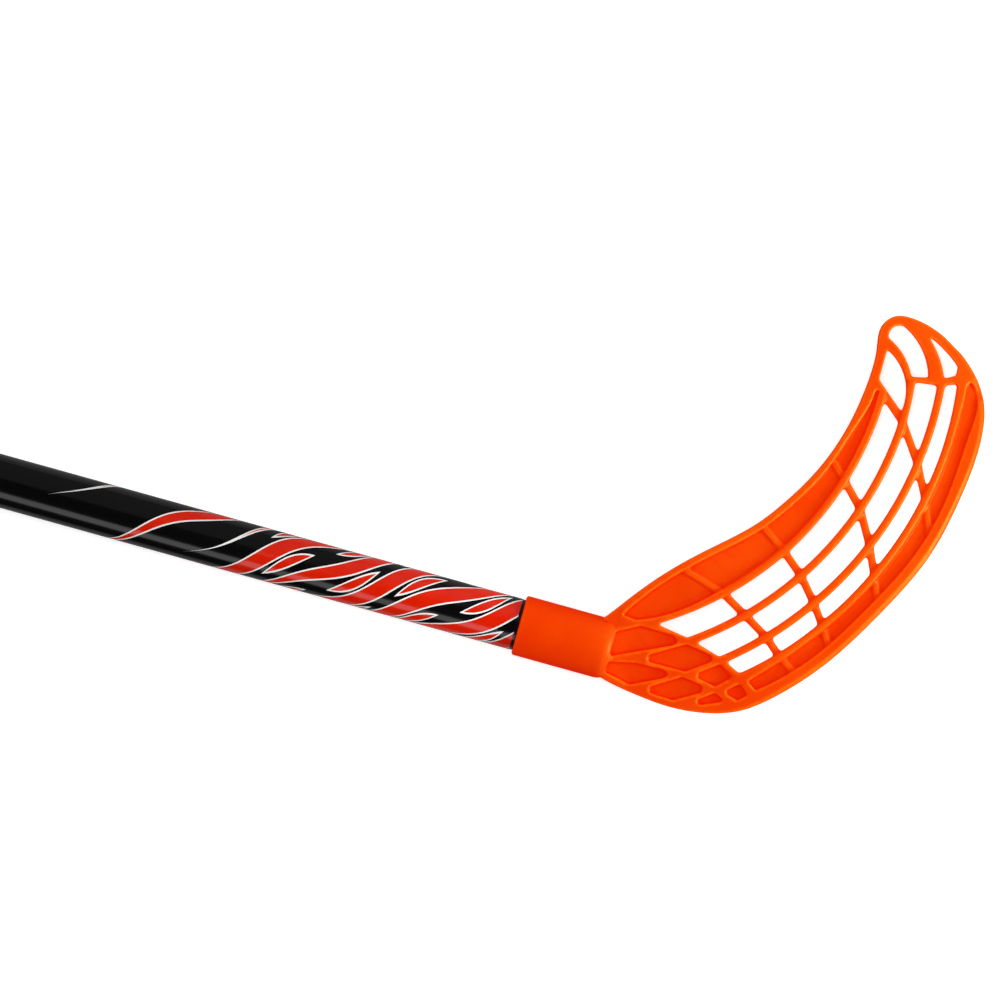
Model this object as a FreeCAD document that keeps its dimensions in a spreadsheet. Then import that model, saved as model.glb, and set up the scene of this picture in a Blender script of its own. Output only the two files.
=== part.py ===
import FreeCAD, Part
import Sketcher
import math
import os

Vec = FreeCAD.Vector

doc = FreeCAD.newDocument("floorball_stick")
sheet = doc.addObject("Spreadsheet::Sheet", "Sizes")

# Driving dimensions in millimetres and degrees.
# The stick lies along +X from its butt, with the blade's tip towards +Y and the floor below it.
SIZES = [
    # shaft: a glass fibre tube
    ("shaft_diameter", 24.0),
    ("shaft_wall", 1.4),
    ("tube_length", 850.0),
    # printed film round the lower shaft, and the bare ring between it and the hosel
    ("foil_thickness", 0.12),
    ("foil_length", 300.0),
    ("foil_gap", 1.5),
    # wound grip band with its tapered lower end, and the tape that closes it
    ("grip_thickness", 2.1),
    ("grip_length", 270.0),
    ("grip_taper", 15.0),
    ("grip_lip", 0.4),
    ("tape_thickness", 0.25),
    ("tape_overlap", 12.0),
    ("tape_tail", 11.0),
    # rubber end cap: a flange on the butt and a hollow plug inside the tube
    ("cap_flange", 4.0),
    ("cap_rounding", 1.5),
    ("cap_plug", 25.0),
    ("cap_wall", 3.0),
    ("fit_clearance", 0.05),
    # hosel: the blade's socket for the shaft, whose round shoulder runs on a little over the ribs
    ("hosel_length", 43.6),
    ("hosel_wall", 2.05),
    ("hosel_overrun", 1.5),
    ("hosel_rounding", 5.5),
    ("hosel_lip", 0.8),
    ("socket_floor", 3.6),
    # blade: reach and height from the hosel's end, then the rims, ribs and webs of its cage
    ("blade_reach", 139.2),
    ("blade_height", 185.1),
    ("heel_thickness", 12.4),
    ("tip_thickness", 8.0),
    ("heel_web", 6.0),
    ("tip_web", 3.0),
    ("upper_rim", 3.0),
    ("lower_rim", 6.0),
    ("rib_width", 3.3),
    ("rib_bow", 160.0),
    ("low_rib_width", 2.5),
    ("low_rib_height", 1.2),
    ("opening_radius", 0.9),
    ("tip_opening_radius", 0.6),
    ("pocket_radius", 1.3),
    ("wide_pocket_radius", 2.0),
    # hook: the direction of the blade from the shaft's axis, and the rise of its bow
    ("hook_angle", 60.0),
    ("hook_rise", 10.0),
]
for row, (alias, value) in enumerate(SIZES, start=1):
    sheet.set("A%d" % row, alias)
    sheet.set("B%d" % row, str(value))
    sheet.setAlias("B%d" % row, alias)
doc.recompute()


def size(rule):
    return float(sheet.evalExpression(rule))


# Places along the shaft and radii from its axis, as rules on the sheet.
SHAFT_RADIUS = "Sizes.shaft_diameter / 2"
BORE_RADIUS = SHAFT_RADIUS + " - Sizes.shaft_wall"
FOIL_RADIUS = SHAFT_RADIUS + " + Sizes.foil_thickness"
GRIP_RADIUS = SHAFT_RADIUS + " + Sizes.grip_thickness"
LIP_RADIUS = SHAFT_RADIUS + " + Sizes.grip_lip"
PLUG_RADIUS = BORE_RADIUS + " - Sizes.fit_clearance"
SOCKET_RADIUS = SHAFT_RADIUS + " + Sizes.fit_clearance"
HOSEL_RADIUS = SOCKET_RADIUS + " + Sizes.hosel_wall"
TUBE_START = "Sizes.cap_flange"
TUBE_END = TUBE_START + " + Sizes.tube_length"
HOSEL_END = TUBE_END + " + Sizes.socket_floor"
FOIL_END = HOSEL_END + " - Sizes.hosel_length - Sizes.foil_gap"
GRIP_END = TUBE_START + " + Sizes.grip_length"
TAPER_START = GRIP_END + " - Sizes.grip_taper"
TAPE_START = GRIP_END + " - Sizes.tape_overlap"
TAPE_RADIUS = "(%s) + (%s - (%s)) * Sizes.tape_overlap / Sizes.grip_taper" % (
    LIP_RADIUS, GRIP_RADIUS, LIP_RADIUS)


def turned(name, profile):
    # A body turned about the shaft's axis from a closed profile of (place, radius) rules.
    body = doc.addObject("PartDesign::Body", name)
    plane = [item for item in body.Origin.OriginFeatures if item.Role == "XY_Plane"][0]
    sketch = body.newObject("Sketcher::SketchObject", name + "_profile")
    sketch.AttachmentSupport = [(plane, "")]
    sketch.MapMode = "FlatFace"
    corners = [Vec(size(place), size(radius), 0) for place, radius in profile]
    for start, end in zip(corners, corners[1:] + corners[:1]):
        sketch.addGeometry(Part.LineSegment(start, end), False)
    for side in range(len(corners)):
        after = (side + 1) % len(corners)
        sketch.addConstraint(Sketcher.Constraint("Coincident", side, 2, after, 1))
    for side, (place, radius) in enumerate(profile):
        for kind, rule in (("DistanceX", place), ("DistanceY", radius)):
            number = sketch.addConstraint(Sketcher.Constraint(kind, -1, 1, side, 1, size(rule)))
            sketch.setExpression("Constraints[%d]" % number, rule)
    turn = body.newObject("PartDesign::Revolution", name + "_turn")
    turn.Profile = sketch
    turn.ReferenceAxis = (sketch, ["H_Axis"])
    turn.Angle = 360.0
    doc.recompute()
    return body


def round_rim(body, name, place, radius, rounding):
    # Rounds the circular edge of a turned body at a place along the axis.
    base = body.Tip
    for number, edge in enumerate(base.Shape.Edges, start=1):
        circle = edge.Curve
        if not isinstance(circle, Part.Circle):
            continue
        if abs(circle.Center.x - size(place)) < 1e-6 and abs(circle.Radius - size(radius)) < 1e-6:
            fillet = body.newObject("PartDesign::Fillet", name)
            fillet.Base = (base, ["Edge%d" % number])
            fillet.setExpression("Radius", rounding)
    doc.recompute()


def sleeve(name, start, end, inside, outside):
    return turned(name, [(start, inside), (end, inside), (end, outside), (start, outside)])


# Shaft, print, grip and cap
shaft_tube = sleeve("shaft_tube", TUBE_START, TUBE_END, BORE_RADIUS, SHAFT_RADIUS)
print_foil = sleeve("print_foil", FOIL_END + " - Sizes.foil_length", FOIL_END, SHAFT_RADIUS, FOIL_RADIUS)
grip_band = turned("grip_band", [
    (TUBE_START, SHAFT_RADIUS),
    (GRIP_END, SHAFT_RADIUS),
    (GRIP_END, LIP_RADIUS),
    (TAPER_START, GRIP_RADIUS),
    (TUBE_START, GRIP_RADIUS),
])
finishing_tape = turned("finishing_tape", [
    (TAPE_START, TAPE_RADIUS),
    (GRIP_END, LIP_RADIUS),
    (GRIP_END, SHAFT_RADIUS),
    (GRIP_END + " + Sizes.tape_tail", SHAFT_RADIUS),
    (GRIP_END + " + Sizes.tape_tail", SHAFT_RADIUS + " + Sizes.tape_thickness"),
    (GRIP_END + " + Sizes.tape_thickness", LIP_RADIUS + " + Sizes.tape_thickness"),
    (TAPE_START, TAPE_RADIUS + " + Sizes.tape_thickness"),
])
PLUG_END = TUBE_START + " + Sizes.cap_plug"
PLUG_BORE = PLUG_RADIUS + " - Sizes.cap_wall"
end_cap = turned("end_cap", [
    ("0", "0"),
    (TUBE_START, "0"),
    (TUBE_START, PLUG_BORE),
    (PLUG_END, PLUG_BORE),
    (PLUG_END, PLUG_RADIUS),
    (TUBE_START, PLUG_RADIUS),
    (TUBE_START, GRIP_RADIUS),
    ("0", GRIP_RADIUS),
])
round_rim(end_cap, "cap_edge", "0", GRIP_RADIUS, "Sizes.cap_rounding")

# The blade is drawn in plan from the hosel's end, x along the shaft and y towards the tip.
# Its outer edge runs along the top from the hosel, round the tip and back along the sole.
TOP_EDGE = [(0, 22.4), (10, 35.2), (30, 55.8), (50, 74.7), (60, 88.2), (70, 105.6), (78.5, 130), (81.8, 152)]
TIP_EDGE = [
    (81.5, 168), (80.8, 177), (85.6, 183.7), (93, 185.1), (110.4, 180.7), (125.5, 170.7), (135.4, 157.6),
]
SOLE_EDGE = [(139.2, 140), (137.2, 112), (129.9, 80), (115.6, 50), (97, 20), (79.2, 0)]
HEEL_EDGE = [(65, -10.9), (50, -16), (33, -17.7), (15, -16.2), (0, -13.5)]
HOSEL_TOP = (-8, 12)
HOSEL_BOTTOM = (-8, -11)

# Long ribs, each by its crossings with the heel rib and the cross ribs, from heel to tip.
LONG_RIBS = [
    [(12.4, 16.4), (43, 39.3), (64.9, 65.5), (83, 104.6), (89.5, 148.4)],
    [(33.2, 13.3), (55.6, 32.2), (75.5, 56.7), (93.7, 93.6), (102, 137.6), (100.8, 158.4)],
    [(49.7, 8.7), (67.7, 25.1), (84.6, 46.1), (102.3, 78.5), (113.7, 120.9), (114.6, 160.2)],
    [(60.5, 3.6), (76, 18), (91.2, 37), (108, 65.8), (121.4, 106), (123.2, 163.8)],
]
FIRST_LANE_END = (88, 160)
DRAWN_REACH = max(x for x, y in SOLE_EDGE)
DRAWN_HEIGHT = max(y for x, y in TIP_EDGE)


def plan(point):
    # A drawn point, stretched when the sheet asks for another reach or height.
    wider = size("blade_reach") / DRAWN_REACH
    higher = size("blade_height") / DRAWN_HEIGHT
    return Vec(point[0] * wider, point[1] * higher, 0)


def line(start, end):
    return Part.makeLine(start, end)


def arc(start, through, end):
    return Part.Arc(start, through, end).toShape()


def curve(points):
    spline = Part.BSplineCurve()
    spline.interpolate(points)
    return spline.toShape()


def side_step(points, distance):
    # The points moved square to their run, to the right of it when the distance is positive.
    moved = []
    for i, point in enumerate(points):
        run = points[min(i + 1, len(points) - 1)] - points[max(i - 1, 0)]
        moved.append(point + Vec(run.y, -run.x, 0).normalize() * distance)
    return moved


def bowed(start, end):
    # A stretch of a long rib, which bows to the right of its run from heel to tip.
    run = end - start
    bow = run.Length ** 2 / (8 * size("rib_bow"))
    return arc(start, (start + end) / 2 + Vec(run.y, -run.x, 0).normalize() * bow, end)


def face(edges):
    return Part.Face(Part.Wire(edges))


def rounded(flat, radius):
    return flat.makeOffset2D(-radius).makeOffset2D(radius)


def polygon(points):
    corners = [plan(point) for point in points]
    return face([line(start, end) for start, end in zip(corners, corners[1:] + corners[:1])])


def cage_openings():
    # Cells between the long ribs and the cross ribs, drawn in by half a rib.
    half_rib = size("rib_width") / 2
    radius = size("opening_radius")
    openings = []
    for upper, lower in zip(LONG_RIBS, LONG_RIBS[1:]):
        above = [plan(point) for point in upper]
        below = [plan(point) for point in lower]
        for i in range(len(above) - 1):
            cell = face([
                bowed(above[i], above[i + 1]),
                line(above[i + 1], below[i + 1]),
                bowed(below[i], below[i + 1]),
                line(below[i], above[i]),
            ])
            openings.append(cell.makeOffset2D(-half_rib - radius).makeOffset2D(radius))
    return openings


def cage_lanes():
    # The strips between the long ribs, where the cross ribs lie lower. The first runs on into the tip.
    half_rib = size("rib_width") / 2
    radius = size("opening_radius")
    ribs = [LONG_RIBS[0] + [FIRST_LANE_END]] + LONG_RIBS[1:]
    drawn = [[plan(point) for point in rib] for rib in ribs]
    lanes = []
    for above, below in zip(drawn, drawn[1:]):
        upper = [bowed(start, end) for start, end in zip(above, above[1:])]
        lower = [bowed(start, end) for start, end in zip(below, below[1:])]
        outline = upper + [line(above[-1], below[-1])] + lower[::-1] + [line(below[0], above[0])]
        lanes.append(face(outline).makeOffset2D(-half_rib - radius).makeOffset2D(radius))
    return lanes


def tip_openings():
    # The three openings of the tip, whose ribs sweep over to the top edge.
    p = plan
    top = face([
        line(p((86.1, 153.6)), p((100.2, 141.8))),
        arc(p((100.2, 141.8)), p((97.8, 157.3)), p((86.1, 168.3))),
        line(p((86.1, 168.3)), p((86.1, 153.6))),
    ])
    corner = face([
        line(p((100.3, 158.8)), p((108.2, 160.5))),
        arc(p((108.2, 160.5)), p((102.4, 171.9)), p((90.9, 180.7))),
        arc(p((90.9, 180.7)), p((86.5, 179)), p((85.2, 173.4))),
        arc(p((85.2, 173.4)), p((94.2, 167.4)), p((100.3, 158.8))),
    ])
    front = face([
        line(p((115.2, 162)), p((120.4, 165))),
        line(p((120.4, 165)), p((120.1, 169.3))),
        arc(p((120.1, 169.3)), p((112.4, 174.9)), p((101.8, 179.9))),
        arc(p((101.8, 179.9)), p((110.5, 170.8)), p((115.2, 162))),
    ])
    return [rounded(flat, size("tip_opening_radius")) for flat in (top, corner, front)]


def heel_pockets():
    # Blind cells of the lattice between the hosel, the openings and the sole.
    beside_hosel = [
        [(0, 9.2), (10.5, 14.9), (25.8, 14.6), (28.4, 13.2), (28.8, 11.6), (27.2, 9.9), (0, -3)],
        [(0, -5.2), (13, -2.2), (25.8, -1.9), (28.3, -2.6), (28.6, -4.2), (27, -5.9), (12.8, -13),
         (0, -10.3)],
    ]
    wide = [
        [(17.3, 2.8), (33, 12.3), (46, 10.4), (46.6, 7.5), (35.8, -0.4), (17.9, -0.5)],
        [(21.2, -11.6), (35.2, -2.7), (45.6, -4.2), (46, -7.4), (33.9, -14.6), (22.3, -14.2)],
    ]
    small = [
        [(41.4, 0.8), (50.4, 7.7), (57.8, 3.2), (51, -3.3), (42.3, -1.7)],
        [(44.5, -11.1), (51.8, -5.7), (58, -8.4), (45.4, -13.8)],
        [(56, -3.6), (61.6, 1.4), (66.9, -2.8), (62.6, -6.7), (57.2, -5.3)],
    ]
    cells = [rounded(polygon(outline), size("pocket_radius")) for outline in beside_hosel + small]
    return cells + [rounded(polygon(outline), size("wide_pocket_radius")) for outline in wide]


def upper_channel():
    rim_side = [plan((1, 17.2))] + side_step([plan(p) for p in TOP_EDGE], size("upper_rim"))[1:-1]
    rim_side += [plan((84.8, 140)), plan((85.9, 147.4))]
    rib_side = [plan(p) for p in ((7.5, 16.6), (18, 21.2), (29.5, 29))]
    rib_side += side_step([plan(p) for p in LONG_RIBS[0]], -size("rib_width") / 2)[1:]
    return face([
        curve(rim_side),
        arc(rim_side[-1], plan((86.6, 148.8)), rib_side[-1]),
        curve(rib_side),
        line(rib_side[0], rim_side[0]),
    ])


def lower_channel():
    rib_side = [plan((64.6, 3.2))]
    rib_side += side_step([plan(p) for p in LONG_RIBS[3]], size("rib_width") / 2)[1:-1]
    rib_side += [plan((126.8, 140)), plan((126.3, 160))]
    rim_side = [plan((127.8, 164)), plan((131.4, 160))]
    rim_side += side_step([plan(p) for p in SOLE_EDGE], size("lower_rim"))[:-1] + [plan((69.4, 0))]
    return face([
        curve(rib_side),
        arc(rib_side[-1], plan((126.6, 162.6)), rim_side[0]),
        curve(rim_side),
        line(rim_side[-1], rib_side[0]),
    ])


def low_ribs():
    # Low ribs that carry the cross ribs on through the channels to the two rims, at the same height.
    runs = list(zip(LONG_RIBS[0][1:4], [(22, 45.3), (52.5, 74), (75.5, 112)]))
    runs += list(zip(LONG_RIBS[3][1:5], [(84.5, 12.8), (97.5, 27), (113.5, 53), (127.5, 91)]))
    strips = []
    for start, end in runs:
        ends = [plan(start), plan(end)]
        left = side_step(ends, -size("low_rib_width") / 2)
        right = side_step(ends, size("low_rib_width") / 2)
        corners = left + right[::-1]
        strips.append(face([line(a, b) for a, b in zip(corners, corners[1:] + corners[:1])]))
    return strips


def blade_outline():
    edge = [HOSEL_TOP] + TOP_EDGE + TIP_EDGE + SOLE_EDGE + HEEL_EDGE + [HOSEL_BOTTOM]
    points = [plan(point) for point in edge]
    return [face([curve(points), line(points[-1], points[0])])]


def column(name, faces):
    # Plan faces carried up and down through the whole depth of the blade.
    flat = doc.addObject("Part::Feature", name + "_plan")
    flat.Shape = Part.makeCompound(faces)
    prism = doc.addObject("Part::Extrusion", name)
    prism.Base = flat
    prism.DirMode = "Custom"
    prism.Dir = Vec(0, 0, 1)
    prism.Solid = True
    prism.Symmetric = True
    prism.setExpression("LengthFwd", "Sizes.blade_height")
    return prism


def hooked_layer(name, heel_half, tip_half):
    # A layer of the blade that follows its hook: a bow from the hosel down to the tip on the floor.
    angle = math.radians(size("hook_angle"))
    along = Vec(math.cos(angle), math.sin(angle), 0)
    reach = max(plan(point).dot(along) for point in TIP_EDGE)
    tip_level = size("tip_thickness") / 2 - size(HOSEL_RADIUS)
    levels = (0.0, tip_level / 2 + size("hook_rise"), tip_level)
    halves = (heel_half, (heel_half + tip_half) / 2, tip_half)
    stations = (0.0, reach / 2, reach)
    edges = []
    ends = []
    for sign in (1, -1):
        points = [Vec(at, 0, level + sign * half) for at, level, half in zip(stations, levels, halves)]
        bow = Part.Arc(*points)
        back = bow.tangent(bow.FirstParameter)[0]
        root = points[0] - back * (size("hosel_length") / abs(back.x))
        edges.append([line(root, points[0]), bow.toShape()])
        ends.append((root, points[-1]))
    outline = edges[0] + [line(ends[0][1], ends[1][1])] + edges[1][::-1] + [line(ends[1][0], ends[0][0])]
    profile = doc.addObject("Part::Feature", name + "_profile")
    profile.Shape = Part.Face(Part.Wire(Part.sortEdges(outline)[0]))
    layer = doc.addObject("Part::Extrusion", name)
    layer.Base = profile
    layer.DirMode = "Custom"
    layer.Dir = Vec(0, 1, 0)
    layer.Solid = True
    layer.Symmetric = True
    layer.setExpression("LengthFwd", "4 * Sizes.blade_height")
    layer.setExpression("Placement.Rotation.Angle", "Sizes.hook_angle")
    layer.Placement.Rotation.Axis = Vec(0, 0, 1)
    return layer


def boolean(kind, name, base, tool, place="0"):
    # Two shapes joined or cut, with the result moved along the shaft by a rule.
    result = doc.addObject("Part::" + kind, name)
    result.Base = base
    result.Tool = tool
    result.setExpression("Placement.Base.x", place)
    doc.recompute()
    return result


# Hosel: turned about the shaft's axis, with its shoulder over the plan's origin
hosel = turned("hosel", [
    ("-Sizes.hosel_length", "0"),
    ("Sizes.hosel_overrun", "0"),
    ("Sizes.hosel_overrun", HOSEL_RADIUS),
    ("-Sizes.hosel_length", HOSEL_RADIUS),
])
round_rim(hosel, "hosel_shoulder", "Sizes.hosel_overrun", HOSEL_RADIUS, "Sizes.hosel_rounding")
round_rim(hosel, "hosel_mouth", "-Sizes.hosel_length", HOSEL_RADIUS, "Sizes.hosel_lip")
socket = turned("socket", [
    ("-2 * Sizes.hosel_length", "0"),
    ("-Sizes.socket_floor", "0"),
    ("-Sizes.socket_floor", SOCKET_RADIUS),
    ("-2 * Sizes.hosel_length", SOCKET_RADIUS),
])

# Blade: an outline cut to the hooked depth and joined to the hosel, then opened into its cage
ridge = size("low_rib_height")
rim_layer = hooked_layer("rim_layer", size("heel_thickness") / 2, size("tip_thickness") / 2)
web_layer = hooked_layer("web_layer", size("heel_web") / 2, size("tip_web") / 2)
ridge_layer = hooked_layer("ridge_layer", size("heel_web") / 2 + ridge, size("tip_web") / 2 + ridge)
plate = boolean("Common", "plate", column("blank", blade_outline()), rim_layer)
moulding = boolean("Fuse", "moulding", plate, hosel)
socketed = boolean("Cut", "socketed", moulding, socket)
opened = boolean("Cut", "opened", socketed, column("openings", cage_openings() + tip_openings()))
lane_depth = boolean("Cut", "lane_depth", column("lanes", cage_lanes()), ridge_layer)
caged = boolean("Cut", "caged", opened, lane_depth)
hollows = column("hollows", [upper_channel(), lower_channel()] + heel_pockets())
bars = boolean("Common", "bars", column("low_ribs", low_ribs()), ridge_layer)
hollow_cut = boolean("Cut", "hollow_cut", boolean("Cut", "hollow_depth", hollows, web_layer), bars)
blade = boolean("Cut", "blade", caged, hollow_cut, HOSEL_END)

SUB_PARTS = [shaft_tube, print_foil, grip_band, finishing_tape, end_cap, blade]
for item in doc.Objects:
    if "Invalid" in item.State or "Error" in item.State:
        raise RuntimeError("%s did not build: %s" % (item.Name, item.State))
for part in SUB_PARTS:
    if part.Shape.isNull() or not part.Shape.isValid():
        raise RuntimeError("%s has no valid shape" % part.Label)
    if len(part.Shape.Solids) != 1:
        raise RuntimeError("%s is %d solids" % (part.Label, len(part.Shape.Solids)))

os.makedirs("parts", exist_ok=True)
for part in SUB_PARTS:
    part.Shape.exportStep("parts/%s.step" % part.Label)
    box = part.Shape.BoundBox
    print("%s: %.0f mm3, x %.1f to %.1f, y %.1f to %.1f, z %.1f to %.1f" % (
        part.Label, part.Shape.Volume, box.XMin, box.XMax, box.YMin, box.YMax, box.ZMin, box.ZMax))
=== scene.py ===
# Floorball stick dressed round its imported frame. Metres, with mm for the small sizes.
import math

import bmesh
import bpy
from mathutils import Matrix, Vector


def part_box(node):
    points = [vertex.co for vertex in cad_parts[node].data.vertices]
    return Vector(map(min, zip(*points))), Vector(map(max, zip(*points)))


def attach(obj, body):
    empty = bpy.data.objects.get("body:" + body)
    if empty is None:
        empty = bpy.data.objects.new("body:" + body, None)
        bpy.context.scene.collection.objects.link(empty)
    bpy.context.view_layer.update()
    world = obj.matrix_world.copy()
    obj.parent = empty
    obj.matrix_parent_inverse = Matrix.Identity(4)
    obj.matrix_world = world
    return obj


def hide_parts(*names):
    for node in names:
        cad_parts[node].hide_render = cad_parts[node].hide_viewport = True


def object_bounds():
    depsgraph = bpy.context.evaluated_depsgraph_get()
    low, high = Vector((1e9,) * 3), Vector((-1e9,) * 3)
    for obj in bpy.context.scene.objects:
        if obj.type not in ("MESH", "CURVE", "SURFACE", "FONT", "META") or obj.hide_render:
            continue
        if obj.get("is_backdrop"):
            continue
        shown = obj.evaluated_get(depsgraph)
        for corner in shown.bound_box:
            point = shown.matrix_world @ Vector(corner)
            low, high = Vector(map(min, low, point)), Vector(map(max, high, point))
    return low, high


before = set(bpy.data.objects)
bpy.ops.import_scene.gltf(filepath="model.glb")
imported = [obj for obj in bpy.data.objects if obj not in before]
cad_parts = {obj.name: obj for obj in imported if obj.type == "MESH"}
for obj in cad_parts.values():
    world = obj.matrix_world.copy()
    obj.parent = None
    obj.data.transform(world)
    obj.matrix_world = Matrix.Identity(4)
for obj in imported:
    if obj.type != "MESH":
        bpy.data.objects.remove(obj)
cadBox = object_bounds()
mm = 0.001
scene = bpy.context.scene
print("frame:", ", ".join(sorted(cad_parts)))

# where each node lies, read from the frame
tubeLow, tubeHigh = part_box("shaft_tube")
foilLow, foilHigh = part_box("print_foil")
gripLow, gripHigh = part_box("grip_band")
tapeLow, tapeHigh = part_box("finishing_tape")
capLow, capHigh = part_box("end_cap")
bladeLow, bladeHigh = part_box("blade")
shaftRadius = tubeHigh.z
floorLevel = cadBox[0].z


def hexColour(code):
    # sRGB hex to the linear colour that a socket takes
    shares = [int(code[i:i + 2], 16) / 255 for i in (1, 3, 5)]
    linear = [c / 12.92 if c <= 0.04045 else ((c + 0.055) / 1.055) ** 2.4 for c in shares]
    return (*linear, 1.0)


def addNode(tree, kind, settings=None, links=None):
    # lower-case keys are properties of the node, the others are its sockets
    node = tree.nodes.new(kind)
    for key, value in (settings or {}).items():
        if isinstance(key, str) and key[0].islower():
            setattr(node, key, value)
        else:
            node.inputs[key].default_value = value
    # a link comes from a socket, or from the first output of a node
    for key, source in (links or {}).items():
        socket = source.outputs[0] if isinstance(source, bpy.types.Node) else source
        tree.links.new(socket, node.inputs[key])
    return node


def newMaterial(name, settings):
    # settings are the shader's sockets, with colours as hex
    material = bpy.data.materials.new(name)
    material.use_nodes = True
    tree = material.node_tree
    shader = tree.nodes["Principled BSDF"]
    for key, value in settings.items():
        shader.inputs[key].default_value = hexColour(value) if isinstance(value, str) else value
    where = addNode(tree, "ShaderNodeTexCoord").outputs["Object"]
    return material, tree, shader, where


def mottle(tree, where, pattern):
    # uneven colour: noise of a real size, and what a ramp of (place, hex) stops makes of it
    noise = addNode(tree, "ShaderNodeTexNoise", {
        "Scale": 1 / (pattern["sizeMm"] * mm), "Detail": pattern["detail"]}, {"Vector": where})
    ramp = addNode(tree, "ShaderNodeValToRGB", None, {"Fac": noise.outputs["Fac"]})
    marks = ramp.color_ramp.elements
    while len(marks) < len(pattern["stops"]):
        marks.new(0.5)
    for mark, (place, code) in zip(marks, pattern["stops"]):
        mark.position = place
        mark.color = hexColour(code)
    return noise.outputs["Fac"], ramp.outputs["Color"]


# polyethylene, injection moulded with a fluorescent dye: satin, soft at its edges, and a little light goes
# through it; a painted red glow (emission) keeps it red even where shade falls
plasticLook = {
    "shader": {
        "IOR": 1.51, "Specular IOR Level": 0.42, "Specular Tint": "#FFB31A",
        "Subsurface Weight": 0.12, "Subsurface Scale": 1.0,
        "Subsurface Radius": (2.2 * mm, 0.7 * mm, 0.2 * mm),
        # painted glow: the plastic emits red light, though it is no lamp, so that its shaded parts stay red
        "Emission Color": "#FF1C00", "Emission Strength": 0.58,
    },
    "cloud": {"sizeMm": 38.0, "detail": 3.0,
              "stops": ((0.32, "#A43A01"), (0.5, "#A84303"), (0.68, "#AE4B07"))},
    # painted shade: inner corners are painted a deep red
    "nookPaintedShade": {"colour": "#8C1400", "reliefMm": (-0.05, -0.36), "most": 0.85},
    # painted highlight: raised edges are painted amber
    "edgePaintedHighlight": {"colour": "#DC8010", "reliefMm": (0.04, 0.20), "most": 0.62},
    "grainMm": 1.1, "grainDetail": 2.0, "bump": {"Strength": 0.10, "Distance": 0.15 * mm},
    "roughness": (0.30, 0.44),
}


def makeBladePlastic():
    look = plasticLook
    material, tree, shader, where = newMaterial("moulded polyethylene", look["shader"])
    colour = mottle(tree, where, look["cloud"])[1]
    # painted highlight and painted shade: raised edges are painted amber and inner corners a deep red, by how
    # far each spot stands out; sockets 6 and 7 of a colour mix are its two colours, and output 2 is the
    # result
    for name in ("nookPaintedShade", "edgePaintedHighlight"):
        mark = look[name]
        least, most = mark["reliefMm"]
        relief = addNode(tree, "ShaderNodeAttribute", {"attribute_name": name})
        share = addNode(tree, "ShaderNodeMapRange", {
            "From Min": least, "From Max": most, "To Max": mark["most"]}, {"Value": relief.outputs["Fac"]})
        mixed = addNode(tree, "ShaderNodeMix", {"data_type": "RGBA", 7: hexColour(mark["colour"])},
                        {0: share, 6: colour})
        colour = mixed.outputs[2]
    tree.links.new(colour, shader.inputs["Base Color"])
    # mould grain, drawn coarser than the real one so that it shows
    grain = addNode(tree, "ShaderNodeTexNoise", {
        "Scale": 1 / (look["grainMm"] * mm), "Detail": look["grainDetail"]}, {"Vector": where})
    bump = addNode(tree, "ShaderNodeBump", look["bump"], {"Height": grain.outputs["Fac"]})
    tree.links.new(bump.outputs["Normal"], shader.inputs["Normal"])
    smooth, dull = look["roughness"]
    rough = addNode(tree, "ShaderNodeMapRange", {"To Min": smooth, "To Max": dull},
                    {"Value": grain.outputs["Fac"]})
    tree.links.new(rough.outputs["Result"], shader.inputs["Roughness"])
    return material


# glass fibre tube, sprayed with black lacquer: deep black under a clear, glossy coat
lacquerLook = {
    "shader": {"IOR": 1.5, "Specular IOR Level": 0.0, "Coat Weight": 0.85, "Coat Roughness": 0.17},
    "streak": {"sizeMm": 14.0, "detail": 4.0, "stops": ((0.35, "#070708"), (0.7, "#0D0D0E"))},
    "stretch": (0.08, 1.0, 1.0), "roughness": (0.17, 0.29),
}


def makeShaftLacquer():
    look = lacquerLook
    material, tree, shader, where = newMaterial("black lacquer on glass fibre", look["shader"])
    # faint streaks run along the tube, as its fibres do
    along = addNode(tree, "ShaderNodeMapping", {"Scale": look["stretch"]}, {"Vector": where})
    streak, colour = mottle(tree, along, look["streak"])
    tree.links.new(colour, shader.inputs["Base Color"])
    smooth, dull = look["roughness"]
    rough = addNode(tree, "ShaderNodeMapRange", {"To Min": smooth, "To Max": dull}, {"Value": streak})
    tree.links.new(rough.outputs["Result"], shader.inputs["Roughness"])
    return material


# printed film under the same lacquer: winding red bands edged in white, with darts between them
printLook = {
    "ink": {"sizeMm": 9.0, "detail": 3.0, "stops": ((0.3, "#D41A00"), (0.7, "#DA2103"))},
    "white": "#F2F2EF", "black": "#070708", "roughness": 0.4,
    "bands": 4, "pitchMm": 104.0, "swayMm": 62.0, "swayShare": 0.16,
    "bandMm": 3.4, "edgeMm": 0.7, "longMm": 226.0, "shortMm": 158.0, "taperMm": 95.0,
    "dartMm": 1.8, "dartLongMm": 22.0, "dartStepMm": 31.0, "dartRows": 4,
}


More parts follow.
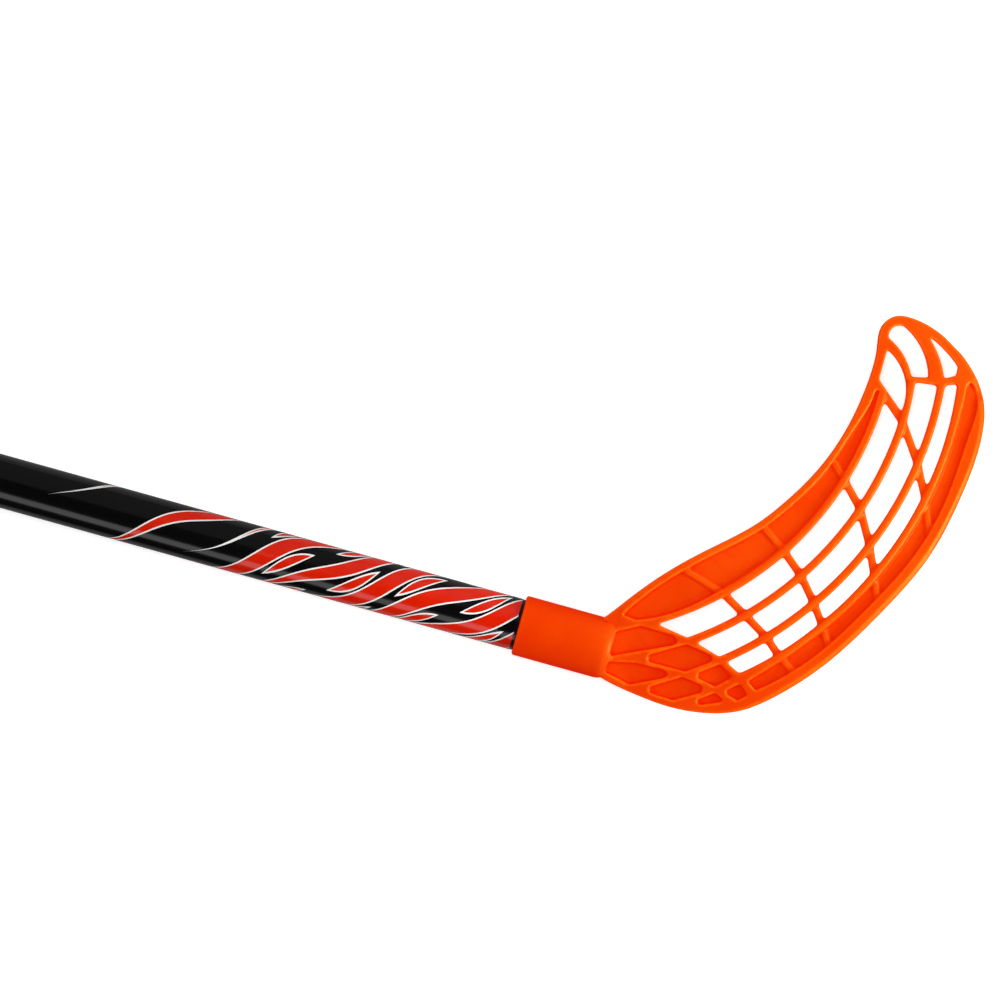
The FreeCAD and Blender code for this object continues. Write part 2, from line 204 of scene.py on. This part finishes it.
def makePrintedFilm():
    look = printLook
    girth = math.tau * foilHigh.z / mm
    spacing = girth / look["bands"]
    coat = {**lacquerLook["shader"], "Roughness": look["roughness"]}
    material, tree, shader, where = newMaterial("printed film under lacquer", coat)
    # mm up from the film's lower end, and the way round the shaft counted in bands
    axes = addNode(tree, "ShaderNodeSeparateXYZ", None, {"Vector": where})
    back = addNode(tree, "ShaderNodeMath", {"operation": "SUBTRACT", 0: foilHigh.x}, {1: axes.outputs["X"]})
    run = addNode(tree, "ShaderNodeMath", {"operation": "DIVIDE", 1: mm}, {0: back})
    angle = addNode(tree, "ShaderNodeMath", {"operation": "ARCTAN2"},
                    {0: axes.outputs["Y"], 1: axes.outputs["Z"]})
    turn = addNode(tree, "ShaderNodeMath", {"operation": "MULTIPLY", 1: look["bands"] / math.tau}, {0: angle})
    # bands wind round the tube and sway as they go
    climb = look["bands"] / look["pitchMm"]
    swayRate = math.tau / look["swayMm"]
    wind = addNode(tree, "ShaderNodeMath", {"operation": "MULTIPLY_ADD", 1: climb}, {0: run, 2: turn})
    phase = addNode(tree, "ShaderNodeMath", {"operation": "MULTIPLY", 1: swayRate}, {0: run})
    sway = addNode(tree, "ShaderNodeMath", {"operation": "SINE"}, {0: phase})
    lane = addNode(tree, "ShaderNodeMath", {"operation": "MULTIPLY_ADD", 1: look["swayShare"]},
                   {0: sway, 2: wind})
    # mm from a band's middle, measured square to the band
    lean = addNode(tree, "ShaderNodeMath", {"operation": "COSINE"}, {0: phase})
    slope = addNode(tree, "ShaderNodeMath", {
        "operation": "MULTIPLY_ADD", 1: look["swayShare"] * swayRate * spacing, 2: climb * spacing},
        {0: lean})
    squared = addNode(tree, "ShaderNodeMath", {"operation": "MULTIPLY_ADD", 2: 1.0}, {0: slope, 1: slope})
    stretch = addNode(tree, "ShaderNodeMath", {"operation": "SQRT"}, {0: squared})
    room = addNode(tree, "ShaderNodeMath", {"operation": "DIVIDE", 0: spacing}, {1: stretch})
    inLane = addNode(tree, "ShaderNodeMath", {"operation": "FRACT"}, {0: lane})
    offset = addNode(tree, "ShaderNodeMath", {"operation": "SUBTRACT", 1: 0.5}, {0: inLane})
    share = addNode(tree, "ShaderNodeMath", {"operation": "ABSOLUTE"}, {0: offset})
    reach = addNode(tree, "ShaderNodeMath", {"operation": "MULTIPLY"}, {0: share, 1: room})
    # every second band ends sooner, and each tapers to a point
    number = addNode(tree, "ShaderNodeMath", {"operation": "FLOOR"}, {0: lane})
    odd = addNode(tree, "ShaderNodeMath", {"operation": "FLOORED_MODULO", 1: 2.0}, {0: number})
    end = addNode(tree, "ShaderNodeMapRange", {"To Min": look["longMm"], "To Max": look["shortMm"]},
                  {"Value": odd})
    left = addNode(tree, "ShaderNodeMath", {"operation": "SUBTRACT"}, {0: end, 1: run})
    half = addNode(tree, "ShaderNodeMapRange", {
        "interpolation_type": "SMOOTHSTEP", "From Max": look["taperMm"],
        "To Min": -look["edgeMm"], "To Max": look["bandMm"]}, {"Value": left})
    # darts: pointed at both ends, midway between two bands, in whole rows
    inward = addNode(tree, "ShaderNodeMath", {"operation": "MULTIPLY", 1: -1.0}, {0: reach})
    midway = addNode(tree, "ShaderNodeMath", {"operation": "MULTIPLY_ADD", 1: 0.5}, {0: room, 2: inward})
    step = addNode(tree, "ShaderNodeMath", {"operation": "DIVIDE", 1: look["dartStepMm"]}, {0: run})
    inStep = addNode(tree, "ShaderNodeMath", {"operation": "FRACT"}, {0: step})
    dartsPerStep = look["dartStepMm"] / look["dartLongMm"]
    fromMid = addNode(tree, "ShaderNodeMath", {
        "operation": "MULTIPLY_ADD", 1: 2 * dartsPerStep, 2: -dartsPerStep}, {0: inStep})
    bulge = addNode(tree, "ShaderNodeMath", {"operation": "MULTIPLY"}, {0: fromMid, 1: fromMid})
    dart = addNode(tree, "ShaderNodeMath", {
        "operation": "MULTIPLY_ADD", 1: -look["dartMm"] - look["edgeMm"], 2: look["dartMm"]}, {0: bulge})
    dartsOn = addNode(tree, "ShaderNodeMath", {"operation": "LESS_THAN", 1: look["dartRows"]}, {0: step})
    # what the white covers, edges and all, and what the red covers inside it
    covers = []
    for edge in (look["edgeMm"], 0.0):
        marks = []
        for distance, limit in ((reach, half), (midway, dart)):
            rim = addNode(tree, "ShaderNodeMath", {"operation": "ADD", 1: edge}, {0: limit})
            marks.append(addNode(tree, "ShaderNodeMath", {"operation": "LESS_THAN"}, {0: distance, 1: rim}))
        darts = addNode(tree, "ShaderNodeMath", {"operation": "MULTIPLY"}, {0: marks[1], 1: dartsOn})
        covers.append(addNode(tree, "ShaderNodeMath", {"operation": "MAXIMUM"}, {0: marks[0], 1: darts}))
    # white on the black, and over it the red ink, which is laid a little unevenly
    edged = addNode(tree, "ShaderNodeMix", {
        "data_type": "RGBA", 6: hexColour(look["black"]), 7: hexColour(look["white"])}, {0: covers[0]})
    red = mottle(tree, where, look["ink"])[1]
    inked = addNode(tree, "ShaderNodeMix", {"data_type": "RGBA"}, {0: covers[1], 6: edged.outputs[2], 7: red})
    tree.links.new(inked.outputs[2], shader.inputs["Base Color"])
    return material


# foamed polyurethane band, pressed and perforated: matt, soft, with rows of small holes
foamLook = {
    "shader": {"Roughness": 0.72, "IOR": 1.49, "Sheen Weight": 0.08, "Sheen Roughness": 0.5},
    "black": "#161618", "hole": "#060607", "holeMm": 0.75, "holeFloor": 0.6, "rowMm": 3.4, "holesRound": 26,
    "grainMm": 0.6, "grainDetail": 3.0, "bump": {"Strength": 0.6, "Distance": 0.35 * mm},
}


def makeGripFoam():
    look = foamLook
    material, tree, shader, where = newMaterial("perforated polyurethane foam", look["shader"])
    axes = addNode(tree, "ShaderNodeSeparateXYZ", None, {"Vector": where})
    row = addNode(tree, "ShaderNodeMath", {"operation": "DIVIDE", 1: look["rowMm"] * mm},
                  {0: axes.outputs["X"]})
    angle = addNode(tree, "ShaderNodeMath", {"operation": "ARCTAN2"},
                    {0: axes.outputs["Y"], 1: axes.outputs["Z"]})
    turn = addNode(tree, "ShaderNodeMath", {"operation": "MULTIPLY", 1: look["holesRound"] / math.tau},
                   {0: angle})
    # rows go round the shaft, each half a step from the next
    rowNumber = addNode(tree, "ShaderNodeMath", {"operation": "FLOOR"}, {0: row})
    stagger = addNode(tree, "ShaderNodeMath", {"operation": "MULTIPLY_ADD", 1: 0.5}, {0: rowNumber, 2: turn})
    fromRow = addNode(tree, "ShaderNodeMath", {"operation": "FRACT"}, {0: row})
    fromHole = addNode(tree, "ShaderNodeMath", {"operation": "FRACT"}, {0: stagger})
    holeGap = math.tau * gripHigh.z / mm / look["holesRound"]
    across = addNode(tree, "ShaderNodeMath", {"operation": "MULTIPLY_ADD", 1: holeGap, 2: -holeGap / 2},
                     {0: fromHole})
    down = addNode(tree, "ShaderNodeMath", {
        "operation": "MULTIPLY_ADD", 1: look["rowMm"], 2: -look["rowMm"] / 2}, {0: fromRow})
    spot = addNode(tree, "ShaderNodeCombineXYZ", None, {"X": across, "Y": down})
    away = addNode(tree, "ShaderNodeVectorMath", {"operation": "LENGTH"}, {0: spot})
    hole = addNode(tree, "ShaderNodeMapRange", {
        "interpolation_type": "SMOOTHSTEP", "From Min": look["holeMm"] * look["holeFloor"],
        "From Max": look["holeMm"], "To Min": 1.0, "To Max": 0.0}, {"Value": away.outputs["Value"]})
    # painted shade: the holes, which are only a bump, are painted darker than the foam round them
    holeShadeTint = addNode(tree, "ShaderNodeMix", {
        "data_type": "RGBA", 6: hexColour(look["black"]), 7: hexColour(look["hole"])}, {0: hole})
    tree.links.new(holeShadeTint.outputs[2], shader.inputs["Base Color"])
    # the foam's skin, its grain coarser than the real one so that it shows, with the holes sunk in it
    grain = addNode(tree, "ShaderNodeTexNoise", {
        "Scale": 1 / (look["grainMm"] * mm), "Detail": look["grainDetail"]}, {"Vector": where})
    height = addNode(tree, "ShaderNodeMath", {"operation": "MULTIPLY_ADD", 1: -1.0},
                     {0: hole, 2: grain.outputs["Fac"]})
    bump = addNode(tree, "ShaderNodeBump", look["bump"], {"Height": height})
    tree.links.new(bump.outputs["Normal"], shader.inputs["Normal"])
    return material


# soft vinyl tape, calendered: smooth and satin, faintly stretched round the shaft
tapeLook = {
    "shader": {"Roughness": 0.42, "IOR": 1.53}, "stretch": (1.0, 0.15, 0.15),
    "pull": {"sizeMm": 3.0, "detail": 2.0, "stops": ((0.3, "#1B1B1D"), (0.7, "#242427"))},
    "bump": {"Strength": 0.25, "Distance": 0.12 * mm},
}


def makeVinylTape():
    look = tapeLook
    material, tree, shader, where = newMaterial("satin vinyl tape", look["shader"])
    around = addNode(tree, "ShaderNodeMapping", {"Scale": look["stretch"]}, {"Vector": where})
    pull, colour = mottle(tree, around, look["pull"])
    tree.links.new(colour, shader.inputs["Base Color"])
    bump = addNode(tree, "ShaderNodeBump", look["bump"], {"Height": pull})
    tree.links.new(bump.outputs["Normal"], shader.inputs["Normal"])
    return material


# natural rubber, compression moulded in a sparked mould: dull black with a fine pebble
rubberLook = {
    "shader": {"Roughness": 0.66, "IOR": 1.52},
    "bloom": {"sizeMm": 7.0, "detail": 4.0, "stops": ((0.4, "#141415"), (0.75, "#1E1E1F"))},
    "pebbleMm": 0.9, "bump": {"Strength": 0.35, "Distance": 0.15 * mm},
}


def makeCapRubber():
    look = rubberLook
    material, tree, shader, where = newMaterial("moulded rubber", look["shader"])
    colour = mottle(tree, where, look["bloom"])[1]
    tree.links.new(colour, shader.inputs["Base Color"])
    # the pebble is coarser than the real one so that it shows
    pebble = addNode(tree, "ShaderNodeTexVoronoi", {"Scale": 1 / (look["pebbleMm"] * mm)}, {"Vector": where})
    bump = addNode(tree, "ShaderNodeBump", look["bump"], {"Height": pebble.outputs["Distance"]})
    tree.links.new(bump.outputs["Normal"], shader.inputs["Normal"])
    return material


# how near points are welded, and the angles at which an edge is eased or shaded as an edge
meshCare = {"weldMm": 0.005, "easedDegrees": 40, "sharpDegrees": 50}


def weld(bm):
    bmesh.ops.remove_doubles(bm, verts=bm.verts, dist=meshCare["weldMm"] * mm)


def spunProfile(profile, steps, ring=True):
    # a chain of (place, radius) points turned once round the shaft's axis
    bm = bmesh.new()
    points = [bm.verts.new((place, 0, radius)) for place, radius in profile]
    chain = [bm.edges.new(pair) for pair in zip(points, points[1:])]
    if ring:
        chain.append(bm.edges.new((points[-1], points[0])))
    bmesh.ops.spin(bm, geom=points + chain, cent=(0, 0, 0), axis=(1, 0, 0), angle=math.tau, steps=steps,
                   use_merge=True)
    weld(bm)
    bmesh.ops.recalc_face_normals(bm, faces=bm.faces)
    return bm


def sharpEdges(bm):
    least = math.radians(meshCare["easedDegrees"])
    return [e for e in bm.edges if e.is_manifold and e.calc_face_angle() > least]


def easeEdges(bm, edges, sizeMm, segments):
    bmesh.ops.bevel(bm, geom=edges, offset=sizeMm * mm, offset_type="OFFSET", segments=segments, profile=0.5,
                    affect="EDGES", material=-1, clamp_overlap=True)


def fromAxis(v):
    return math.hypot(v.co.y, v.co.z)


def setRadius(v, wanted):
    # moves a vertex straight in or out from the shaft's axis
    grow = wanted / fromAxis(v)
    v.co.y *= grow
    v.co.z *= grow


def makePiece(name, bm, body, node, material):
    mesh = bpy.data.meshes.new(name)
    bm.to_mesh(mesh)
    bm.free()
    mesh.shade_smooth()
    mesh.set_sharp_from_angle(angle=math.radians(meshCare["sharpDegrees"]))
    mesh.materials.append(material)
    piece = bpy.data.objects.new(name, mesh)
    scene.collection.objects.link(piece)
    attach(piece, body)
    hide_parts(node)
    print(name, len(mesh.polygons), "faces")
    return piece


tubeShape = {"wallMm": 1.4, "easeMm": 0.3, "easeSegments": 2, "steps": 96}


def makeShaft():
    shape = tubeShape
    bore = shaftRadius - shape["wallMm"] * mm
    bm = spunProfile([(tubeLow.x, bore), (tubeHigh.x, bore), (tubeHigh.x, shaftRadius),
                      (tubeLow.x, shaftRadius)], shape["steps"])
    easeEdges(bm, sharpEdges(bm), shape["easeMm"], shape["easeSegments"])
    return makePiece("shaftTube", bm, "shaft", "shaft_tube", makeShaftLacquer())


filmShape = {"easeMm": 0.04, "easeSegments": 2, "steps": 96}


def makePrint():
    shape = filmShape
    outside = foilHigh.z
    bm = spunProfile([(foilLow.x, shaftRadius), (foilHigh.x, shaftRadius), (foilHigh.x, outside),
                      (foilLow.x, outside)], shape["steps"])
    easeEdges(bm, sharpEdges(bm), shape["easeMm"], shape["easeSegments"])
    return makePiece("printFilm", bm, "shaft", "print_foil", makePrintedFilm())


# the section's points are a share of the band's width, and mm that it lies under the grip's outside there
gripShape = {
    "bandMm": 25.0, "lipMm": 0.4, "taperMm": 15.0, "trimMm": 0.001, "steps": 64,
    "section": ((0.0, 0.55), (0.03, 0.55), (0.2, 0.45), (0.45, 0.30), (0.7, 0.15), (0.92, 0.04), (0.97, 0.0),
                (0.99, 0.12), (1.0, 0.55)),
}


def makeGrip():
    # the band's section, wound along the shaft: each turn rises over the width of the band, then steps down
    shape = gripShape
    pitch = shape["bandMm"] * mm
    start = gripLow.x - pitch
    bm = bmesh.new()
    points = [bm.verts.new((start + share * pitch, 0, gripHigh.z - sink * mm))
              for share, sink in shape["section"]]
    chain = [bm.edges.new(pair) for pair in zip(points, points[1:])]
    turns = math.ceil((gripHigh.x - gripLow.x) / pitch) + 2  # two to spare for the trimming
    bmesh.ops.spin(bm, geom=points + chain, cent=(0, 0, 0), axis=(1, 0, 0), angle=math.tau * turns,
                   dvec=(pitch / shape["steps"], 0, 0), steps=shape["steps"] * turns)
    weld(bm)
    # trimmed at the cap and at the lower end
    for place, way in ((gripLow.x, -1), (gripHigh.x, 1)):
        bmesh.ops.bisect_plane(bm, geom=bm.verts[:] + bm.edges[:] + bm.faces[:], plane_co=(place, 0, 0),
                               plane_no=(way, 0, 0), clear_outer=True, dist=shape["trimMm"] * mm)
    weld(bm)
    # the winding thins to its lower end
    taperStart = gripHigh.x - shape["taperMm"] * mm
    lip = shaftRadius + shape["lipMm"] * mm
    for v in bm.verts:
        share = (v.co.x - taperStart) / (gripHigh.x - taperStart)
        if share > 0:
            setRadius(v, fromAxis(v) + (lip - fromAxis(v)) * share)
    # closed on the shaft: both rims drawn in and joined along the bore
    rims = [e for e in bm.edges if e.is_boundary]
    drawn = bmesh.ops.extrude_edge_only(bm, edges=rims)["geom"]
    for v in [g for g in drawn if isinstance(g, bmesh.types.BMVert)]:
        setRadius(v, shaftRadius)
    inner = [g for g in drawn if isinstance(g, bmesh.types.BMEdge) and g.is_boundary]
    bmesh.ops.bridge_loops(bm, edges=inner)
    bmesh.ops.recalc_face_normals(bm, faces=bm.faces)
    return makePiece("gripBand", bm, "shaft", "grip_band", makeGripFoam())


tapeShape = {"thickMm": 0.25, "steps": 96}


def makeTape():
    # follows the grip's taper down to the bare shaft
    shape = tapeShape
    thick = shape["thickMm"] * mm
    lip = shaftRadius + gripShape["lipMm"] * mm
    start = tapeHigh.z - thick
    bm = spunProfile([(tapeLow.x, start), (gripHigh.x, lip), (gripHigh.x, shaftRadius),
                      (tapeHigh.x, shaftRadius), (tapeHigh.x, shaftRadius + thick),
                      (gripHigh.x + thick, lip + thick), (tapeLow.x, start + thick)], shape["steps"])
    return makePiece("finishingTape", bm, "shaft", "finishing_tape", makeVinylTape())


capShape = {"roundMm": 1.5, "roundSegments": 6, "nearMm": 0.1, "plugMm": 10.55, "wallMm": 3.0, "steps": 96}


def makeCap():
    shape = capShape
    outside = capHigh.z
    plug = shape["plugMm"] * mm
    bore = plug - shape["wallMm"] * mm
    seat = tubeLow.x
    bm = spunProfile([(capLow.x, 0), (capLow.x, outside), (seat, outside), (seat, plug), (capHigh.x, plug),
                      (capHigh.x, bore), (seat, bore), (seat, 0)], shape["steps"], ring=False)
    # only the edge round the outer face is rounded
    near = shape["nearMm"] * mm
    front = [e for e in bm.edges
             if all(v.co.x < capLow.x + near and fromAxis(v) > outside - near for v in e.verts)]
    easeEdges(bm, front, shape["roundMm"], shape["roundSegments"])
    return makePiece("endCap", bm, "end_cap", "end_cap", makeCapRubber())


bladeShape = {
    "weldMm": 0.002, "voxelMm": 0.5, "softPasses": 4, "swellMm": 0.12, "triangles": 185000,
    "hookMiddleMm": (20.0, 110.0), "ribPasses": 10, "ribShare": (0.17, 0.83), "ribDegrees": (-72, 36),
    "soleRoundMm": 2.8, "solePasses": 3, "soleDegrees": (-74, 38), "soleFadeDegrees": 14.0,
    "soleWallMm": 0.3, "soleFlatShare": (0.8, 1.2), "soleFlatNormal": 0.8, "soleBlendMm": 1.5,
    "socketFloorMm": 3.6, "socketGapMm": 0.05, "lipMm": 1.2, "shoulderMm": 4.6, "hoselNearMm": 0.6,
    "hoselWallMm": 1.0, "reliefPasses": {"nookPaintedShade": 24, "edgePaintedHighlight": 8},
}


def meshOf(piece):
    # the piece's mesh with its modifiers carried out
    graph = bpy.context.evaluated_depsgraph_get()
    return bpy.data.meshes.new_from_object(piece.evaluated_get(graph))


def soften(bm, verts, passes):
    for _ in range(passes):
        bmesh.ops.smooth_vert(bm, verts=verts, factor=0.5, use_axis_x=True, use_axis_y=True, use_axis_z=True)


def hookMiddle(hoselEnd):
    # a point inside the hook, from which the blade's arc is seen all along
    return Vector((hoselEnd, 0)) + Vector(bladeShape["hookMiddleMm"]) * mm


def seenFromHook(bm, hoselEnd, degrees):
    # each vertex with its bearing and distance from the hook's middle, and the blade's least and greatest
    # distance at each whole degree
    middle = hookMiddle(hoselEnd)
    least, most = degrees
    spots = []
    spans = {}
    for v in bm.verts:
        away = v.co.xy - middle
        bearing = math.degrees(math.atan2(away.y, away.x))
        if v.co.x > hoselEnd and least < bearing < most:
            spots.append((v, bearing, away.length))
            near, far = spans.get(round(bearing), (away.length, away.length))
            spans[round(bearing)] = (min(near, away.length), max(far, away.length))
    return spots, spans


def ribZone(bm, hoselEnd):
    # the vertices between the two rims, where the ribs are
    spots, spans = seenFromHook(bm, hoselEnd, bladeShape["ribDegrees"])
    least, most = bladeShape["ribShare"]
    inside = []
    for v, bearing, length in spots:
        near, far = spans[round(bearing)]
        if least < (length - near) / (far - near) < most:
            inside.append(v)
    return inside


def average(values):
    return sum(values) / len(values)


def roundSole(bm, hoselEnd):
    # the sole's outer edge is a full round: its square section is drawn in to a half ellipse
    shape = bladeShape
    wide = shape["soleRoundMm"] * mm
    fade = shape["soleFadeDegrees"]
    least, most = shape["soleDegrees"]
    flatLeast, flatMost = shape["soleFlatShare"]
    middle = hookMiddle(hoselEnd)
    spots, spans = seenFromHook(bm, hoselEnd, shape["soleDegrees"])
    far = {b: span[1] for b, span in spans.items()}
    # levels of the flat top and bottom and of the outer wall, at each whole degree
    bm.normal_update()
    tops = {b: [] for b in far}
    bottoms = {b: [] for b in far}
    walls = {b: [] for b in far}
    for v, bearing, length in spots:
        b = round(bearing)
        inward = far[b] - length
        if length > far[b] - shape["soleWallMm"] * mm:
            walls[b].append(v.co.z)
        elif flatLeast * wide < inward < flatMost * wide and abs(v.normal.z) > shape["soleFlatNormal"]:
            (tops if v.normal.z > 0 else bottoms)[b].append(v.co.z)
    sections = {}
    for b in far:
        if tops[b] and bottoms[b] and walls[b]:
            top = average(tops[b])
            bottom = average(bottoms[b])
            sections[b] = Vector((far[b], (top + bottom) / 2, average(walls[b]), (top - bottom) / 2))
    # out and up run over the square section, and are bent to the ellipse
    for v, bearing, length in spots:
        b = math.floor(bearing)
        if b not in sections or b + 1 not in sections:
            continue
        reach, levelIn, levelOut, half = sections[b].lerp(sections[b + 1], bearing - b)
        out = min((length - reach) / wide + 1, 1)
        if out <= 0:
            continue
        up = max(-1, min(1, (v.co.z - levelIn - (levelOut - levelIn) * out) / half))
        newOut = out * math.sqrt(1 - up * up / 2)
        newUp = up * math.sqrt(1 - out * out / 2)
        share = max(0, min(1, (bearing - least) / fade, (most - bearing) / fade))
        place = middle + (v.co.xy - middle) / length * (reach + (newOut - 1) * wide)
        level = levelIn + (levelOut - levelIn) * newOut + newUp * half
        v.co = v.co.lerp(Vector((*place, level)), share)
    blend = wide + shape["soleBlendMm"] * mm
    return [v for v, bearing, length in spots if length > far[round(bearing)] - blend]


def trueHosel(bm, hoselEnd):
    # the socket's two walls made round again
    shape = bladeShape
    start = bladeLow.x + shape["lipMm"] * mm
    walls = (
        (bladeHigh.z, hoselEnd - shape["shoulderMm"] * mm),
        (shaftRadius + shape["socketGapMm"] * mm, tubeHigh.x - shape["lipMm"] * mm),
    )
    for v in bm.verts:
        radius = fromAxis(v)
        for wanted, stop in walls:
            if start < v.co.x < stop and abs(radius - wanted) < shape["hoselNearMm"] * mm:
                setRadius(v, wanted)


def markRelief(bm, name, passes):
    # how far each spot stands out over the surface round it, in mm, kept for the plastic's painted highlight
    # on raised edges and painted shade in inner corners
    kept = [v.co.copy() for v in bm.verts]
    bm.normal_update()
    normals = [v.normal.copy() for v in bm.verts]
    layer = bm.verts.layers.float.new(name)
    soften(bm, bm.verts, passes)
    for v, place, normal in zip(bm.verts, kept, normals):
        v[layer] = (place - v.co).dot(normal) / mm
        v.co = place


def makeBlade():
    # the moulding's edges are all soft, so its solid is remeshed finely and smoothed
    shape = bladeShape
    hoselEnd = tubeHigh.x + shape["socketFloorMm"] * mm
    bm = bmesh.new()
    bm.from_mesh(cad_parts["blade"].data)
    bmesh.ops.remove_doubles(bm, verts=bm.verts, dist=shape["weldMm"] * mm)
    raw = bpy.data.meshes.new("bladeRaw")
    bm.to_mesh(raw)
    bm.free()
    rough = bpy.data.objects.new("bladeRaw", raw)
    scene.collection.objects.link(rough)
    grid = rough.modifiers.new("voxels", "REMESH")
    grid.mode = "VOXEL"
    grid.voxel_size = shape["voxelMm"] * mm
    bm = bmesh.new()
    bm.from_mesh(meshOf(rough))
    bpy.data.objects.remove(rough)
    soften(bm, bm.verts, shape["softPasses"])
    soften(bm, ribZone(bm, hoselEnd), shape["ribPasses"])
    soften(bm, roundSole(bm, hoselEnd), shape["solePasses"])
    # softening draws the surface in a little, so it is let out again
    bm.normal_update()
    for v in bm.verts:
        if v.co.x > hoselEnd:
            v.co += v.normal * shape["swellMm"] * mm
    trueHosel(bm, hoselEnd)
    for name, passes in shape["reliefPasses"].items():
        markRelief(bm, name, passes)
    wallFrom = shaftRadius + shape["hoselWallMm"] * mm
    hoselWall = [v.index for v in bm.verts if v.co.x < hoselEnd and fromAxis(v) > wallFrom]
    piece = makePiece("bladeMoulding", bm, "blade", "blade", makeBladePlastic())
    # thinned everywhere but on the hosel's wall, where long triangles would show
    thinned = piece.vertex_groups.new(name="thinned")
    thinned.add(range(len(piece.data.vertices)), 1.0, "REPLACE")
    thinned.remove(hoselWall)
    thin = piece.modifiers.new("thin", "DECIMATE")
    thin.ratio = shape["triangles"] / (2 * len(piece.data.polygons))  # each face is two triangles
    thin.vertex_group = thinned.name
    return piece


shaftPieces = [makeShaft(), makePrint(), makeGrip(), makeTape(), makeCap()]
makeBlade()

# pale studio paper, which glows a little so that it stays even
floorLook = {
    "shader": {"Roughness": 0.9, "Specular IOR Level": 0.0, "Emission Color": "#FFFFFF",
               "Emission Strength": 0.72},
    "fibre": {"sizeMm": 2.0, "detail": 3.0, "stops": ((0.3, "#D2D2D0"), (0.7, "#D8D8D7"))},
    "size": 30.0, "cells": 4, "middle": (0.5, 0.0),
}


def makeFloor():
    look = floorLook
    bm = bmesh.new()
    bmesh.ops.create_grid(bm, x_segments=look["cells"], y_segments=look["cells"], size=look["size"] / 2)
    bmesh.ops.translate(bm, verts=bm.verts, vec=(*look["middle"], floorLevel))
    mesh = bpy.data.meshes.new("floor")
    bm.to_mesh(mesh)
    bm.free()
    material, tree, shader, where = newMaterial("pale paper floor", look["shader"])
    colour = mottle(tree, where, look["fibre"])[1]
    tree.links.new(colour, shader.inputs["Base Color"])
    mesh.materials.append(material)
    floor = bpy.data.objects.new("floor", mesh)
    floor.visible_glossy = False
    floor.visible_diffuse = False
    floor.visible_shadow = False
    scene.collection.objects.link(floor)
    floor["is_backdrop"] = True
    print("floor", look["size"], "m across")


makeFloor()

# a long lens that looks straight down, beside the shaft's lower end
cameraPlace = {"over": (0.7901, 0.0532), "turnDegrees": 15.53, "lens": 400.0, "sensor": 36.0, "spanMm": 461.5}


def makeCamera():
    place = cameraPlace
    data = bpy.data.cameras.new("camera")
    data.lens = place["lens"]
    data.sensor_width = place["sensor"]
    height = place["spanMm"] * mm * data.lens / data.sensor_width
    camera = bpy.data.objects.new("camera", data)
    camera.location = (*place["over"], height)
    camera.rotation_euler = (0, 0, math.radians(place["turnDegrees"]))
    scene.collection.objects.link(camera)
    scene.camera = camera
    print("camera", round(height, 2), "m up")


makeCamera()

# soft boxes: one over the blade, a low key beside the sole, the floor's bounce under it and a dim one behind.
# For the shaft alone there are a panel under the floor, a fill behind and a strip whose streak shows in
# the lacquer.
softBoxes = {
    "topBox": {"at": (0.80, 0.04, 2.45), "aim": (0.80, 0.04, 0.0), "wide": 0.8, "high": 0.8,
               "watts": 25.5, "mirrored": False, "shaftOnly": False},
    "keyBox": {"at": (1.45, 0.085, 0.20), "aim": (0.92, 0.06, 0.0), "wide": 0.3, "high": 0.3,
               "watts": 4.6, "mirrored": True, "shaftOnly": False},
    "bounceBox": {"at": (1.42, -0.02, -0.15), "aim": (0.96, 0.06, 0.0), "wide": 0.3, "high": 0.3,
                  "watts": 6.5, "mirrored": False, "shaftOnly": False},
    "backBox": {"at": (1.15, 0.80, 0.35), "aim": (0.90, 0.05, 0.0), "wide": 0.8, "high": 0.8,
                "watts": 3.3, "mirrored": False, "shaftOnly": False},
    "underPanel": {"at": (0.45, 1.1, -0.3), "aim": (0.45, 1.1, 0.0), "wide": 2.6, "high": 3.4,
                   "watts": 7.8, "mirrored": True, "shaftOnly": True},
    "fillBox": {"at": (0.45, 1.25, 0.97), "aim": (0.45, 0.0, 0.0), "wide": 2.6, "high": 2.6,
                "watts": 3.2, "mirrored": True, "shaftOnly": True},
    "streakBox": {"at": (0.45, -1.10, 0.57), "aim": (0.45, 0.0, 0.0), "wide": 2.6, "high": 0.58,
                  "watts": 8.2, "mirrored": True, "shaftOnly": True},
}
# white where the lens sees past the floor, but dark as a light, so that the lacquer stays black
skyLook = {"seen": "#FFFFFF", "light": "#F4F7FF", "glow": 0.02}


def makeLights():
    shaftGroup = bpy.data.collections.new("shaftPieces")
    for piece in shaftPieces:
        shaftGroup.objects.link(piece)
    for name, box in softBoxes.items():
        data = bpy.data.lights.new(name, "AREA")
        data.shape = "RECTANGLE"
        data.size = box["wide"]
        data.size_y = box["high"]
        data.energy = box["watts"]
        lamp = bpy.data.objects.new(name, data)
        lamp.location = box["at"]
        lamp.rotation_euler = (Vector(box["aim"]) - Vector(box["at"])).to_track_quat("-Z", "Y").to_euler()
        lamp.visible_camera = False
        lamp.visible_glossy = box["mirrored"]
        if box["shaftOnly"]:
            lamp.light_linking.receiver_collection = shaftGroup
        scene.collection.objects.link(lamp)
    sky = bpy.data.worlds.new("studio")
    sky.use_nodes = True
    tree = sky.node_tree
    light = tree.nodes["Background"]
    light.inputs["Color"].default_value = hexColour(skyLook["light"])
    light.inputs["Strength"].default_value = skyLook["glow"]
    seen = addNode(tree, "ShaderNodeBackground", {"Color": hexColour(skyLook["seen"])})
    path = addNode(tree, "ShaderNodeLightPath")
    mixed = addNode(tree, "ShaderNodeMixShader", None, {0: path.outputs["Is Camera Ray"], 1: light, 2: seen})
    tree.links.new(mixed.outputs[0], tree.nodes["World Output"].inputs["Surface"])
    scene.world = sky
    scene.view_settings.view_transform = "Standard"
    print(len(softBoxes), "soft boxes")


makeLights()

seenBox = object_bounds()
for name, corners in (("CAD box", cadBox), ("visual box", seenBox)):
    print(name, [round(c, 4) for p in corners for c in p])
